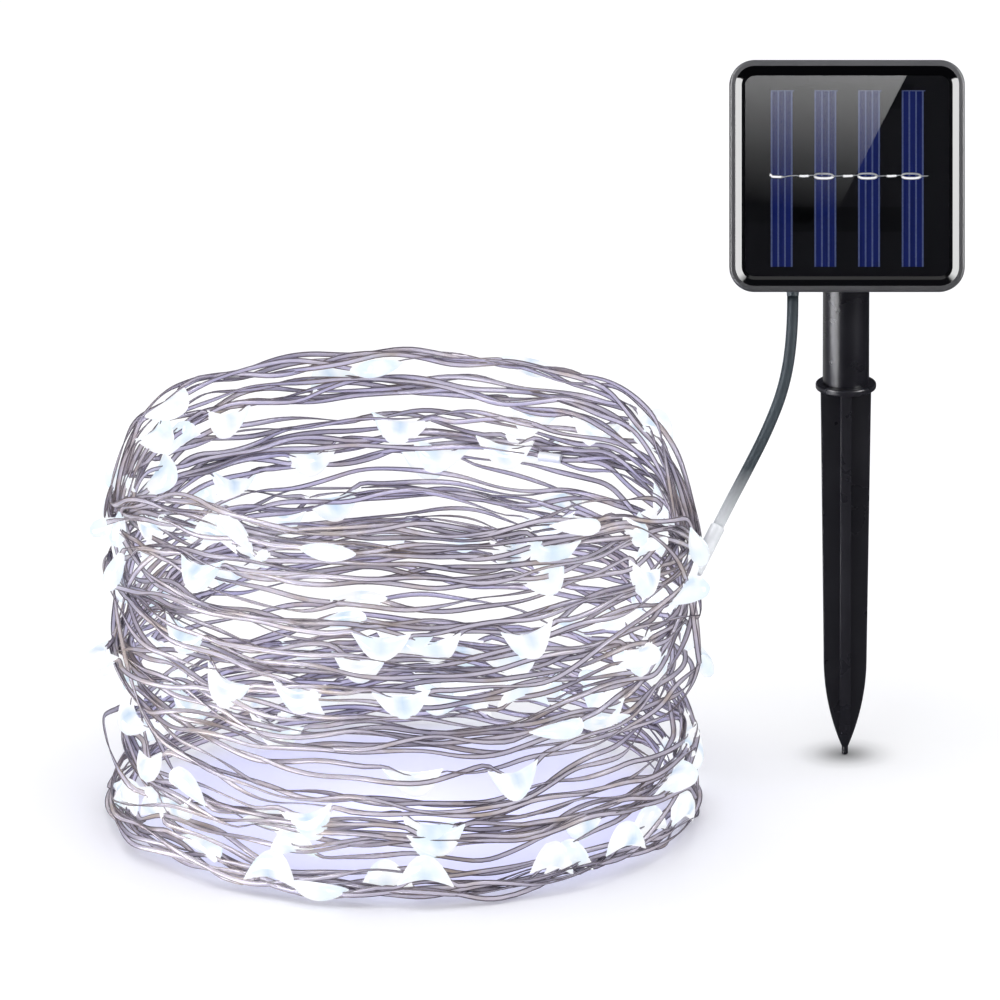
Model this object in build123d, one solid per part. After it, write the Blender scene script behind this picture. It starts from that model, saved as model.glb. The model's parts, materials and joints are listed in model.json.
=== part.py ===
from build123d import *
import os
import random
from math import cos, degrees, exp, pi, radians, sin, tan

# Solar string lights: a tilting solar head on a ground stake, and a loose coil of
# lights that a short lead joins to the head. Millimetres, +Z up. The origin is the
# tip of the ground spike. The solar panel faces -Y, leaning back.

# ---------------------------------------------------------------- driving dimensions

# solar head, in its own frame: x across, y up along the panel, z out of the panel,
# with z = 0 at the middle of the housing's flat back
HEAD_WIDTH = 70.0
HEAD_HEIGHT = 69.0
HEAD_DEPTH = 21.0
HEAD_CORNER = 7.5
HEAD_LEAN = 18.0                 # degrees that the panel leans back at rest
SEAM = 15.5                      # height of the seam between the two housing shells
WALL = 1.8
RIM = 1.7                        # flat rim round the front
BEVEL = 1.9                      # width of the slope inside the rim
BEVEL_DEPTH = 1.15
LEDGE = 1.0                      # width of the gentler slope between it and the panel
LEDGE_DEPTH = 0.35
FIT = 0.1                        # gap of parts that drop into each other

# solar panel
BOARD_THICKNESS = 1.2
RESIN_THICKNESS = 0.9
CELL_SIZE = (6.5, 52.4)
CELL_THICKNESS = 0.3
CELL_PITCH = 13.0
CELL_COUNT = 4
CELL_DROP = 0.85                 # the cells sit a little low on the panel
TAB_WIDTH = 0.6
TAB_THICKNESS = 0.25

# inside the head
BATTERY_RADIUS = 7.25
BATTERY_LENGTH = 50.5
BATTERY_X = 18.0
CIRCUIT_SIZE = (33.0, 34.0, 1.0)
CIRCUIT_CENTRE = (-10.5, 5.0)
CIRCUIT_LEVEL = 7.8              # underside of the circuit board
BUTTON_PLACES = ((-17.0, 12.0), (-4.0, 12.0))
BUTTON_RADIUS = 3.4
POST_PLACES = [(x, y) for x in (-28.5, 28.5) for y in (-28.0, 28.0)]

# hinge between head and stake, and the stake
HINGE_BACK = 8.0                 # hinge axis behind the housing's back
HINGE_DROP = 8.0                 # hinge axis below the middle of the head
HINGE_HEIGHT = 173.0
LUG_RADIUS = 5.0
LUG_THICKNESS = 3.0
MOUNT_PLATE = (21.2, 12.0, 1.6)  # the hinge mount's base on the housing's back
MOUNT_SCREW_X = 8.6
TONGUE_THICKNESS = 6.0
BOLT_RADIUS = 1.95
RUNNING = 0.08                   # radial clearance of parts that turn or slide
TUBE_RADIUS = 6.95
TUBE_BORE = 5.75
COLLAR_RADIUS = 9.05
SPIKE_LENGTH = 115.1             # tip to the underside of the collar
COLLAR_THICKNESS = 2.0
NUB_RADIUS = 0.95
NUB_LENGTH = 2.6
FIN_THICKNESS = 3.2
FIN_TOP = 7.6                    # reach of each fin under the collar
FIN_WAIST = (6.45, 30.0)         # reach and height where it starts to curve in
FIN_CURVE = (4.35, 13.0)         # a point of that curve, above the nub
SOCKET_DEPTH = 22.0              # how far the spike's spigot goes into the tube
BRACKET_SPIGOT = 14.0
BRACKET_CAP_RADIUS = 7.4
SPIGOT_BORE = 4.0

# lead and coil of lights
LEAD_DIAMETER = 3.4
LEAD_EXIT = (-16.1, 8.0)         # across and out from the back, on the head's underside
GLAND_LENGTH = 1.2
GLAND_RADIUS = 2.6
COIL_CENTRE = (-132.4, -57.0)
COIL_TURNS = 72
COIL_HEIGHT = 119.0
COIL_RADIUS = 85.0               # middle of the wound wall
COIL_WALL = 12.0
RIGHT_BUNDLES = (4.0, 26.0, 48.0, 67.0, 86.0)    # levels where the turns gather at the
LEFT_BUNDLES = (4.0, 28.0, 53.0, 78.0, 96.0)     # coil's right and at its left
PINCH = 20.0                     # degrees from the side within which they are gathered
LOW_MARGIN = 4.5                 # lowest free turn, from the floor
TOP_MARGIN = 3.0                 # highest free turn, from the coil's top
SWEEPS = 8.6                     # times that the winding goes up or down the coil
FIRST_PHASE = 0.7                # level where it starts
LAST_STRETCH = 0.35              # half turns by which the string ends before the right
FIRST_BEAD = 420.0               # plain string before the first light
BEAD_PITCH = 250.0
PLAIN_END = 60.0                 # and after the last one
BEAD_SIZE = (14.0, 5.6, 9.0)     # along the string, through the wall, up
DWELL = 0.45                     # how much more it lies near its top and bottom
FRONT_SAG = 1.25                 # how much lower the free turns lie in front
FREE_SPREAD = 0.16               # uneven share of their height
STRAY = 0.15                     # share of turns that cross to another bundle
TIE_SPREAD = 3.2                 # uneven height within a bundle
WALL_SPREAD = 0.42               # uneven share of the wall's thickness
SEED = 11

# ------------------------------------------------------------------- head's own frame

lean = radians(HEAD_LEAN)
panel_out = Vector(0, -cos(lean), sin(lean))
panel_up = Vector(0, sin(lean), cos(lean))
hinge_point = Vector(0, 0, HINGE_HEIGHT)
head_origin = hinge_point + panel_out * HINGE_BACK + panel_up * HINGE_DROP
head_frame = Plane(origin=head_origin, x_dir=(1, 0, 0), z_dir=panel_out)

PANEL_INSET = RIM + BEVEL + LEDGE
PANEL_TOP = HEAD_DEPTH - BEVEL_DEPTH - LEDGE_DEPTH
CELL_LEVEL = PANEL_TOP - RESIN_THICKNESS
PANEL_BOTTOM = CELL_LEVEL - BOARD_THICKNESS


def save(name, shape):
    """Write one sub-part that is already in the object's frame."""
    export_step(shape, f"parts/{name}.step")


def save_head(name, shape):
    """Write one sub-part that was drawn in the head's own frame."""
    save(name, head_frame.location * shape)


def outline(inset):
    """The head's outline, drawn in by inset."""
    corner = max(HEAD_CORNER - inset, 0.5)
    return RectangleRounded(HEAD_WIDTH - 2 * inset, HEAD_HEIGHT - 2 * inset, corner)


def plate(inset, low, high):
    """A plate with the head's outline, drawn in by inset, from low to high."""
    return Pos(0, 0, low) * extrude(outline(inset), high - low)


def block(size, low_centre):
    """A box that stands on low_centre."""
    return Pos(*low_centre) * Box(*size, align=(Align.CENTER, Align.CENTER, Align.MIN))


def rod(radius, start, end):
    """A round bar from start to end."""
    a, b = Vector(*start), Vector(*end)
    return Solid.make_cylinder(radius, (b - a).length, Plane(origin=a, z_dir=b - a))


def group(parts):
    """Separate solids in one node."""
    return Compound(children=list(parts))


# ------------------------------------------------------------------------ head shells

POST_TOP = 11.0
SCREW_SEAT = 8.0                 # depth of the screw heads' counterbores
MOUNT_BOSS_TOP = 6.4


def rear_housing():
    tray = fillet(plate(0, 0, SEAM).faces().sort_by(Axis.Z)[0].edges(), 2.0)
    tray -= plate(WALL, WALL, SEAM + 1)
    for x, y in POST_PLACES:
        tray += block_round(2.9, (x, y, WALL - 0.5), POST_TOP)
        tray -= block_round(2.2, (x, y, -1), SCREW_SEAT)
        tray -= block_round(1.2, (x, y, -1), POST_TOP + 1)
    for x, y in standoffs():
        tray += block_round(1.8, (x, y, WALL - 0.5), CIRCUIT_LEVEL)
        tray -= block_round(0.8, (x, y, WALL + 0.6), CIRCUIT_LEVEL + 1)
    for x, y in BUTTON_PLACES:
        tray -= block_round(BUTTON_RADIUS + 0.2, (x, y, -1), WALL + 1)
    for x, y in mount_screw_places():
        tray += block_round(1.7, (x, y, WALL - 0.5), MOUNT_BOSS_TOP)
        tray -= block_round(0.9, (x, y, -1), MOUNT_BOSS_TOP - 0.4)
    exit_x, exit_z = LEAD_EXIT
    wall = HEAD_HEIGHT / 2
    tray -= rod(GLAND_RADIUS, (exit_x, -wall - 1, exit_z), (exit_x, -wall + WALL + 1, exit_z))
    return tray


def block_round(radius, foot, top):
    """An upright round bar from its foot to the level top."""
    return rod(radius, foot, (foot[0], foot[1], top))


def standoffs():
    """Where the circuit board is screwed down."""
    x, y = CIRCUIT_CENTRE
    return [(x + i * 13.5, y + j * 14.0) for i in (-1, 1) for j in (-1, 1)]


def mount_screw_places():
    """Where the hinge mount is screwed to the housing's back."""
    return [(side * MOUNT_SCREW_X, -HINGE_DROP) for side in (-1, 1)]


def hinge_mount():
    """A base plate on the housing's back, with two ears that hold the hinge bolt."""
    width, height, thickness = MOUNT_PLATE
    base = extrude(RectangleRounded(width, height, 2.0), thickness)
    mount = Pos(0, -HINGE_DROP, -thickness) * base
    reach = HINGE_BACK - thickness / 2
    ear = Circle(LUG_RADIUS) + Pos(0, reach / 2) * Rectangle(2 * LUG_RADIUS, reach)
    ear -= Circle(BOLT_RADIUS + 0.03)
    inner = TONGUE_THICKNESS / 2 + 0.2
    for start in (inner, -inner - LUG_THICKNESS):
        lug = extrude(Plane.YZ * ear, LUG_THICKNESS)
        mount += Pos(start, -HINGE_DROP, -HINGE_BACK) * lug
    for x, y in mount_screw_places():
        mount -= block_round(1.1, (x, y, -thickness - 1), 1)
    return mount


def mount_screws():
    screws = []
    for x, y in mount_screw_places():
        seat = -MOUNT_PLATE[2]
        head = block_round(1.8, (x, y, seat - 1.2), seat)
        head -= block((2.4, 0.5, 0.7), (x, y, seat - 1.2)) + block((0.5, 2.4, 0.7), (x, y, seat - 1.2))
        screws.append(head + block_round(0.85, (x, y, seat), MOUNT_BOSS_TOP - 1.0))
    return group(screws)


def front_bezel():
    frame = plate(0, SEAM, HEAD_DEPTH)
    frame = fillet(frame.faces().sort_by(Axis.Z)[-1].edges(), 0.8)
    levels = (
        (PANEL_INSET, PANEL_TOP),
        (RIM + BEVEL, HEAD_DEPTH - BEVEL_DEPTH),
        (RIM, HEAD_DEPTH),
    )
    slope = loft([Pos(0, 0, level) * outline(inset) for inset, level in levels], ruled=True)
    frame -= slope
    frame -= plate(PANEL_INSET, PANEL_BOTTOM, PANEL_TOP)
    frame -= plate(7.0, SEAM - 1, PANEL_BOTTOM)
    frame -= gasket_ring()
    lip = plate(WALL + FIT, SEAM - 1.5, SEAM) - plate(WALL + FIT + 1.2, SEAM - 2, SEAM)
    frame += lip
    for x, y in POST_PLACES:
        frame += block_round(2.6, (x, y, POST_TOP), PANEL_BOTTOM)
        frame -= block_round(1.0, (x, y, POST_TOP - 1), PANEL_BOTTOM - 0.8)
    return frame


def gasket_ring():
    """The seal in the bezel's groove, over the middle of the rear wall."""
    return plate(0.4, SEAM, SEAM + 0.8) - plate(1.4, SEAM - 1, SEAM + 1)


def housing_screws():
    screws = []
    for x, y in POST_PLACES:
        head = block_round(2.0, (x, y, SCREW_SEAT - 1.5), SCREW_SEAT)
        slot = block((2.6, 0.6, 0.8), (x, y, SCREW_SEAT - 1.5))
        cross = block((0.6, 2.6, 0.8), (x, y, SCREW_SEAT - 1.5))
        shank = block_round(0.95, (x, y, SCREW_SEAT), PANEL_BOTTOM - 1.2)
        screws.append(head + shank - slot - cross)
    return group(screws)


def cable_gland():
    """A moulded bush in the housing's underside, with the lead moulded into it."""
    wall = HEAD_HEIGHT / 2
    exit_x, exit_z = LEAD_EXIT
    profile = Polyline(
        (0, 0), (1.85, 0), (1.75, -GLAND_LENGTH), (0, -GLAND_LENGTH), (0, 0)
    )
    skirt = revolve(make_face(Plane.XZ * profile), Axis.Z)
    bush = skirt + rod(GLAND_RADIUS, (0, 0, 0), (0, 0, WALL))
    bush += rod(GLAND_RADIUS + 1.2, (0, 0, WALL), (0, 0, WALL + 1))
    return Pos(exit_x, -wall, exit_z) * Rot(-90, 0, 0) * bush


# ------------------------------------------------------------------------ solar panel


def cell_x(number):
    """The middle of one solar cell, across the panel."""
    return (number - (CELL_COUNT - 1) / 2) * CELL_PITCH


def solar_cell(number):
    return block((*CELL_SIZE, CELL_THICKNESS), (cell_x(number), -CELL_DROP, CELL_LEVEL))


def cell_tab():
    """The crinkled strip that joins the four cells across their middles."""
    half = cell_x(CELL_COUNT - 1) + CELL_SIZE[0] / 2
    steps = 24
    points = [
        (-half + 2 * half * i / steps, 0.35 * sin(i * 2.4) + 0.2 * sin(i * 1.1))
        for i in range(steps + 1)
    ]
    upper = [(x, y + TAB_WIDTH / 2) for x, y in points]
    lower = [(x, y - TAB_WIDTH / 2) for x, y in reversed(points)]
    outline = make_face(Polyline(*upper, *lower, upper[0]))
    level = CELL_LEVEL + CELL_THICKNESS
    return Pos(0, 0, level) * extrude(outline, TAB_THICKNESS)


def panel_resin(buried):
    """The clear layer poured over the cells, which fits round all that it covers."""
    layer = plate(PANEL_INSET + FIT / 2, CELL_LEVEL, PANEL_TOP)
    for part in buried:
        layer -= part
    return layer


def backing_board():
    return plate(PANEL_INSET + FIT / 2, PANEL_BOTTOM, CELL_LEVEL)


# --------------------------------------------------------------------- head's insides

BATTERY_FLOOR = WALL + 0.6
BATTERY_LEVEL = BATTERY_FLOOR + BATTERY_RADIUS
CONTACT_GAP = 2.0                # room for the spring at the battery's flat end


def battery():
    half = BATTERY_LENGTH / 2
    x, z = BATTERY_X, BATTERY_LEVEL
    can = rod(BATTERY_RADIUS, (x, -half, z), (x, half - 1.2, z))
    can = fillet(can.edges(), 0.6)
    return can + rod(2.75, (x, half - 1.5, z), (x, half, z))


def battery_holder():
    half = BATTERY_LENGTH / 2
    low, high = -half - CONTACT_GAP, half + 0.4
    width = 2 * BATTERY_RADIUS
    middle = (low + high) / 2
    base = block((width, high - low + 2.4, 0.6), (BATTERY_X, middle, WALL))
    for y in (low - 0.6, high + 0.6):
        base += block((width, 1.2, 12.0), (BATTERY_X, y, WALL))
    for side in (-1, 1):
        rail_x = BATTERY_X + side * (BATTERY_RADIUS - 0.5)
        base += block((1.0, high - low, 2.4), (rail_x, middle, WALL))
    x, level = BATTERY_X, BATTERY_LEVEL
    base -= rod(BATTERY_RADIUS + 0.05, (x, low, level), (x, high, level))
    edge, end, level = upper_wire_start()
    return base - rod(0.6, (x - width / 2 - 1, end, level), (edge, end, level))


def battery_plate():
    """The positive contact, a thin plate between the holder's end and the battery."""
    half = BATTERY_LENGTH / 2
    return block((8.0, 0.4, 9.0), (BATTERY_X, half + 0.2, BATTERY_LEVEL - 4.5))


def battery_spring():
    """The negative contact, a coil spring between the holder's end and the battery."""
    wire, turns = 0.3, 2.5
    rise = CONTACT_GAP - 2 * wire - 0.02
    path = Helix(pitch=rise / turns, height=rise, radius=3.2)
    section = Plane(origin=path @ 0, z_dir=path % 0) * Circle(wire)
    coil = sweep(section, path=path, is_frenet=True)
    foot = -BATTERY_LENGTH / 2 - CONTACT_GAP + wire + 0.01
    return Pos(BATTERY_X, foot, BATTERY_LEVEL) * Rot(-90, 0, 0) * coil


def circuit_board():
    x, y = CIRCUIT_CENTRE
    board = block(CIRCUIT_SIZE, (x, y, CIRCUIT_LEVEL))
    for place in standoffs():
        board -= block_round(1.1, (*place, CIRCUIT_LEVEL - 1), CIRCUIT_LEVEL + 2)
    return board


CIRCUIT_TOP = CIRCUIT_LEVEL + CIRCUIT_SIZE[2]


def board_screws():
    screws = []
    for x, y in standoffs():
        shank = block_round(0.75, (x, y, CIRCUIT_LEVEL - 4), CIRCUIT_TOP)
        screws.append(shank + block_round(1.7, (x, y, CIRCUIT_TOP), CIRCUIT_TOP + 1.1))
    return group(screws)


def button_switches():
    """Two tact switches under the buttons, on the board's underside."""
    switches = []
    for x, y in BUTTON_PLACES:
        body = block((6.0, 6.0, 3.5), (x, y, CIRCUIT_LEVEL - 3.5))
        switches.append(body + block_round(1.7, (x, y, CIRCUIT_LEVEL - 4.35), CIRCUIT_LEVEL - 3.5))
    return group(switches)


def push_button(place):
    """A round cap through the back wall, with a flange that keeps it in."""
    x, y = place
    cap = block_round(BUTTON_RADIUS, (x, y, -1.2), WALL + 0.05)
    cap = fillet(cap.faces().sort_by(Axis.Z)[0].edges(), 0.5)
    return cap + block_round(BUTTON_RADIUS + 1.0, (x, y, WALL + 0.05), WALL + 0.8)


def driver_chip():
    body = block((4.0, 5.0, 1.5), (-12.0, -2.0, CIRCUIT_TOP + 0.1))
    for side in (-1, 1):
        for step in range(4):
            leg_y = -2.0 + (step - 1.5) * 1.27
            body += block((1.4, 0.4, 0.4), (-12.0 + side * 2.4, leg_y, CIRCUIT_TOP))
    return body


def inductor():
    x, y = -20.0, -3.0
    core = block_round(3.5, (x, y, CIRCUIT_TOP), CIRCUIT_TOP + 0.8)
    core += block_round(1.6, (x, y, CIRCUIT_TOP), CIRCUIT_TOP + 4.2)
    core += block_round(3.5, (x, y, CIRCUIT_TOP + 3.4), CIRCUIT_TOP + 4.2)
    return core + block_round(2.9, (x, y, CIRCUIT_TOP + 0.8), CIRCUIT_TOP + 3.4)


def capacitor():
    can = block_round(2.5, (-4.0, -2.0, CIRCUIT_TOP), CIRCUIT_TOP + 6.5)
    return fillet(can.faces().sort_by(Axis.Z)[-1].edges(), 0.4)


def panel_wires():
    """The two leads from the solar panel down to the circuit board."""
    return group(
        block_round(0.6, (x, 16.0, CIRCUIT_TOP), PANEL_BOTTOM) for x in (-22.0, -19.0)
    )


def bent_wire(radius, bend, points):
    path = FilletPolyline(*points, radius=bend)
    return sweep(Plane(origin=path @ 0, z_dir=path % 0) * Circle(radius), path=path)


def upper_wire_start():
    """Where the battery's positive wire meets the side of its contact plate."""
    return BATTERY_X - 4.0, BATTERY_LENGTH / 2 + 0.5, CIRCUIT_TOP + 0.8


def battery_wires():
    """The two leads from the battery's contacts to the circuit board."""
    edge, end, level = upper_wire_start()
    foot = -BATTERY_LENGTH / 2 - CONTACT_GAP / 2
    upper = [(edge, end, level), (7.8, end, level), (5.4, 10.0, level)]
    lower = [(edge, foot, level), (7.8, foot, level), (5.4, -3.0, level)]
    return group([bent_wire(0.5, 1.5, upper), bent_wire(0.5, 1.5, lower)])


def lead_wires():
    """The lead's two cores, from the bush to the circuit board."""
    exit_x, exit_z = LEAD_EXIT
    foot = -HEAD_HEIGHT / 2 + WALL + 1.0
    return group(
        rod(0.5, (exit_x + side, foot, exit_z), (exit_x + side, -9.5, CIRCUIT_TOP + 0.8))
        for side in (-0.9, 0.9)
    )


# ---------------------------------------------------------------------- hinge and stake


def hinge_bolt():
    reach = TONGUE_THICKNESS / 2 + 0.2 + LUG_THICKNESS
    shank = rod(BOLT_RADIUS, (-reach, 0, 0), (reach + 3.6, 0, 0))
    head = rod(3.6, (-reach - 2.4, 0, 0), (-reach, 0, 0))
    head = fillet(head.faces().sort_by(Axis.X)[0].edges(), 0.6)
    socket = rod(1.4, (-reach - 3, 0, 0), (-reach - 1.0, 0, 0))
    return Pos(*hinge_point) * (head - socket + shank)


def hinge_nut():
    reach = TONGUE_THICKNESS / 2 + 0.2 + LUG_THICKNESS
    nut = extrude(Plane.YZ * RegularPolygon(4.04, 6), 3.0)
    nut -= rod(BOLT_RADIUS + 0.03, (-1, 0, 0), (4, 0, 0))
    return Pos(*hinge_point) * Pos(reach, 0, 0) * nut


BRACKET_CAP = HINGE_HEIGHT - 13.5     # underside of the cap that rests on the tube


def hinge_bracket():
    """A tongue for the hinge bolt on a round cap, with a spigot into the tube."""
    ear = Circle(LUG_RADIUS) + Pos(0, -5.5) * Rectangle(2 * LUG_RADIUS, 11.0)
    ear -= Circle(BOLT_RADIUS + RUNNING)
    tongue = Pos(-TONGUE_THICKNESS / 2, 0, HINGE_HEIGHT) * extrude(
        Plane.YZ * ear, TONGUE_THICKNESS
    )
    cap = block_round(BRACKET_CAP_RADIUS, (0, 0, BRACKET_CAP), BRACKET_CAP + 3.0)
    cap = chamfer(cap.faces().sort_by(Axis.Z)[-1].edges(), 0.8)
    foot = BRACKET_CAP - BRACKET_SPIGOT
    spigot = block_round(TUBE_BORE - RUNNING, (0, 0, foot), BRACKET_CAP + 1)
    hollow = block_round(SPIGOT_BORE, (0, 0, foot - 1), BRACKET_CAP - 1)
    return tongue + cap + spigot - hollow


COLLAR_TOP = SPIKE_LENGTH + COLLAR_THICKNESS


def stake_tube():
    low, high = COLLAR_TOP + 0.1, BRACKET_CAP - 0.1
    tube = block_round(TUBE_RADIUS, (0, 0, low), high)
    return tube - block_round(TUBE_BORE, (0, 0, low - 1), high + 1)


def ground_spike():
    """Four tapering fins that run to a point, a collar, and a spigot for the tube."""
    tip, top = (NUB_RADIUS, NUB_LENGTH), (FIN_TOP, SPIKE_LENGTH)
    right = Polyline(tip, (0, NUB_LENGTH), (0, SPIKE_LENGTH), top, FIN_WAIST)
    point = ThreePointArc(FIN_WAIST, FIN_CURVE, tip)
    half_fin = make_face(right + point)
    fin = half_fin + mirror(half_fin, about=Plane.YZ)
    blade = extrude(Plane.XZ * fin, FIN_THICKNESS / 2, both=True)
    rims = [
        edge
        for face in (blade.faces().sort_by(Axis.Y)[0], blade.faces().sort_by(Axis.Y)[-1])
        for edge in face.edges()
        if edge.center().Z < SPIKE_LENGTH - 1
    ]
    blade = chamfer(rims, 0.35)
    spike = (blade + Rot(0, 0, 90) * blade) & revolve(Plane.XZ * half_fin, Axis.Z)
    nub = block_round(NUB_RADIUS, (0, 0, 0), NUB_LENGTH + 4)
    spike += fillet(nub.faces().sort_by(Axis.Z)[0].edges(), 0.6)
    collar = block_round(COLLAR_RADIUS, (0, 0, SPIKE_LENGTH), COLLAR_TOP)
    spike += fillet(collar.edges(), 0.6)
    spigot_top = COLLAR_TOP + SOCKET_DEPTH
    spike += block_round(TUBE_BORE - RUNNING, (0, 0, SPIKE_LENGTH + 1), spigot_top)
    return spike - block_round(SPIGOT_BORE, (0, 0, COLLAR_TOP), spigot_top + 1)


# --------------------------------------------------------------------------- the lead

gland_end = head_frame.from_local_coords(
    Vector(LEAD_EXIT[0], -HEAD_HEIGHT / 2 - GLAND_LENGTH, LEAD_EXIT[1])
)
LEAD_ROUTE = [
    gland_end,
    gland_end - panel_up * 11.0,
    Vector(-18.4, -31.0, 126.0),
    Vector(-23.6, -36.0, 113.6),
    Vector(-29.9, -42.0, 102.6),
    Vector(-35.4, -48.2, 93.8),
    Vector(-38.4, -51.6, 88.6),
]
SLEEVE_LENGTH = 16.0
SLEEVE_RADIUS = 2.2


def route_bends(points):
    """The largest arc at each corner that its two runs leave room for."""
    bends = []
    for before, corner, after in zip(points, points[1:], points[2:]):
        arriving, leaving = corner - before, after - corner
        turn = arriving.get_angle(leaving)
        shorter = min(arriving.length, leaving.length)
        bends.append(0.45 * shorter / tan(radians(turn) / 2))
        print(f"lead corner turns {turn:.1f} degrees, radius {bends[-1]:.1f}")
    return bends


def lead_cable():
    path = FilletPolyline(*LEAD_ROUTE, radius=route_bends(LEAD_ROUTE))
    section = Plane(origin=path @ 0, z_dir=path % 0) * Circle(LEAD_DIAMETER / 2)
    tube = sweep(section, path=path)
    print(f"lead is {path.length:.1f} long, volume {tube.volume:.1f}, section times")
    print(f"length {pi * (LEAD_DIAMETER / 2) ** 2 * path.length:.1f}")
    return tube


lead_end = LEAD_ROUTE[-1]
sleeve_end = lead_end + (lead_end - LEAD_ROUTE[-2]).normalized() * SLEEVE_LENGTH


def joint_sleeve():
    """The moulded sleeve where the lead ends and the string of lights begins."""
    return fillet(rod(SLEEVE_RADIUS, lead_end, sleeve_end).edges(), 0.5)


# -------------------------------------------------------------------- coil of lights


def winding():
    """How the string is wound, from the joint sleeve on the coil's right.

    Gives its free height in the middle of each half turn, in front or behind, its
    height in a bundle at each side, and its radius at each quarter turn.
    """
    dice = random.Random(SEED)
    low, high = LOW_MARGIN, COIL_HEIGHT - TOP_MARGIN
    halves = 2 * COIL_TURNS
    free = []
    for half in range(halves + 1):
        phase = (half / halves * SWEEPS + FIRST_PHASE) % 2.0
        share = phase if phase < 1 else 2 - phase
        level = (1 - DWELL) * share + DWELL * (1 - cos(pi * share)) / 2
        if half % 2 == 0:
            level **= FRONT_SAG
        level += dice.uniform(-FREE_SPREAD, FREE_SPREAD)
        free.append(low + min(max(level, 0), 1) * (high - low))
    tied = [sleeve_end.Z]
    for side in range(1, halves + 1):
        bundles = LEFT_BUNDLES if side % 2 else RIGHT_BUNDLES
        wanted = (free[side - 1] + free[side]) / 2
        nearest = sorted(bundles, key=lambda height: abs(height - wanted))
        chosen = dice.choice(nearest[1:3]) if dice.random() < STRAY else nearest[0]
        tied.append(chosen + dice.uniform(-TIE_SPREAD, TIE_SPREAD))
    radii = [(sleeve_end - Vector(*COIL_CENTRE, sleeve_end.Z)).length]
    for quarter in range(2 * halves):
        radii.append(COIL_RADIUS + dice.uniform(-WALL_SPREAD, WALL_SPREAD) * (COIL_WALL - 2))
    return free, tied, radii


def eased(values, place):
    """Reads a list between its items, with a gentle start and end at each."""
    index = min(max(int(place), 0), len(values) - 2)
    share = min(max(place - index, 0.0), 1.0)
    step = values[index + 1] - values[index]
    return values[index] + step * share * share * (3 - 2 * share)


def string_place(turned, free, tied, radii):
    """Where the string is after this many half turns, and its angle round the coil."""
    side = round(turned)
    pull = exp(-(((turned - side) * 180 / PINCH) ** 2))
    height = eased(free, turned - 0.5)
    height += (tied[side] - height) * pull
    radius, angle = eased(radii, 2 * turned), -turned * pi
    x, y = COIL_CENTRE
    return Vector(x + radius * cos(angle), y + radius * sin(angle), height), angle


def coil_line(steps_per_half=12):
    """Points along the string, each with its distance from the start and its angle."""
    plan, line, along = winding(), [], 0.0
    for step in range(round((2 * COIL_TURNS - LAST_STRETCH) * steps_per_half) + 1):
        place, angle = string_place(step / steps_per_half, *plan)
        if line:
            along += (place - line[-1][1]).length
        line.append((along, place, angle))
    return line


def light_coil():
    """The space that the wound string fills: a loose hollow cylinder."""
    inner, outer = COIL_RADIUS - COIL_WALL / 2, COIL_RADIUS + COIL_WALL / 2
    end = outer - 1.5
    top = COIL_HEIGHT
    outside = ThreePointArc((end, 0), (outer, top / 2), (end, top))
    rest = Polyline((end, top), (inner, top), (inner, 0), (end, 0))
    ring = revolve(Plane.XZ * make_face(outside + rest), Axis.Z)
    return Pos(*COIL_CENTRE, 0) * ring


def led_beads():
    """One resin bead at every light, where the string lies."""
    length, depth, height = BEAD_SIZE
    left, right = (-length / 2, 0), (length / 2, 0)
    profile = make_face(Polyline(left, right) + ThreePointArc(right, (0, -height), left))
    bead = extrude(Plane.XZ * profile, depth / 2, both=True)
    beads, wanted = [], FIRST_BEAD
    line = coil_line()
    whole = line[-1][0]
    for along, place, angle in line:
        if wanted <= along < whole - PLAIN_END:
            level = max(place.Z + 2.0, height)
            turned = Rot(0, 0, degrees(angle) + 90)
            beads.append(Pos(place.X, place.Y, level) * turned * bead)
            wanted += BEAD_PITCH
    print(f"string is {whole:.0f} long, with {len(beads)} beads")
    return group(beads)


def end_cap():
    """The sealed cap on the string's last end."""
    line = coil_line()
    last, before = line[-1][1], line[-2][1]
    return rod(1.4, last, last + (last - before).normalized() * 7.0)


# ------------------------------------------------------------------------------ output

os.makedirs("parts", exist_ok=True)

save_head("rear_housing", rear_housing())
save_head("front_bezel", front_bezel())
save_head("housing_gasket", gasket_ring())
save_head("housing_screws", housing_screws())
save_head("cable_gland", cable_gland())
save_head("hinge_mount", hinge_mount())
save_head("mount_screws", mount_screws())

tab = cell_tab()
cells = [solar_cell(number) for number in range(CELL_COUNT)]
for number, cell in enumerate(cells, 1):
    save_head(f"solar_cell_{number}", cell)
save_head("cell_tab", tab)
save_head("panel_resin", panel_resin([*cells, tab]))
save_head("backing_board", backing_board())

save_head("battery", battery())
save_head("battery_holder", battery_holder())
save_head("battery_plate", battery_plate())
save_head("battery_spring", battery_spring())
save_head("circuit_board", circuit_board())
save_head("board_screws", board_screws())
save_head("button_switches", button_switches())
save_head("power_button", push_button(BUTTON_PLACES[0]))
save_head("mode_button", push_button(BUTTON_PLACES[1]))
save_head("driver_chip", driver_chip())
save_head("inductor", inductor())
save_head("capacitor", capacitor())
save_head("panel_wires", panel_wires())
save_head("battery_wires", battery_wires())
save_head("lead_wires", lead_wires())

save("hinge_bolt", hinge_bolt())
save("hinge_nut", hinge_nut())
save("hinge_bracket", hinge_bracket())
save("stake_tube", stake_tube())
save("ground_spike", ground_spike())

save("lead_cable", lead_cable())
save("joint_sleeve", joint_sleeve())
save("light_coil", light_coil())
save("led_beads", led_beads())
save("end_cap", end_cap())
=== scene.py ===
"""Solar string lights, as they look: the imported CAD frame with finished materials, the
lead and the wound string of lights as real cords, the lit beads, and a white studio.

Metres, +Z up. The solar panel faces -Y. Lengths written in millimetres carry MM.
"""
import json
import random
from math import ceil, cos, exp, hypot, pi, radians, sin

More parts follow.
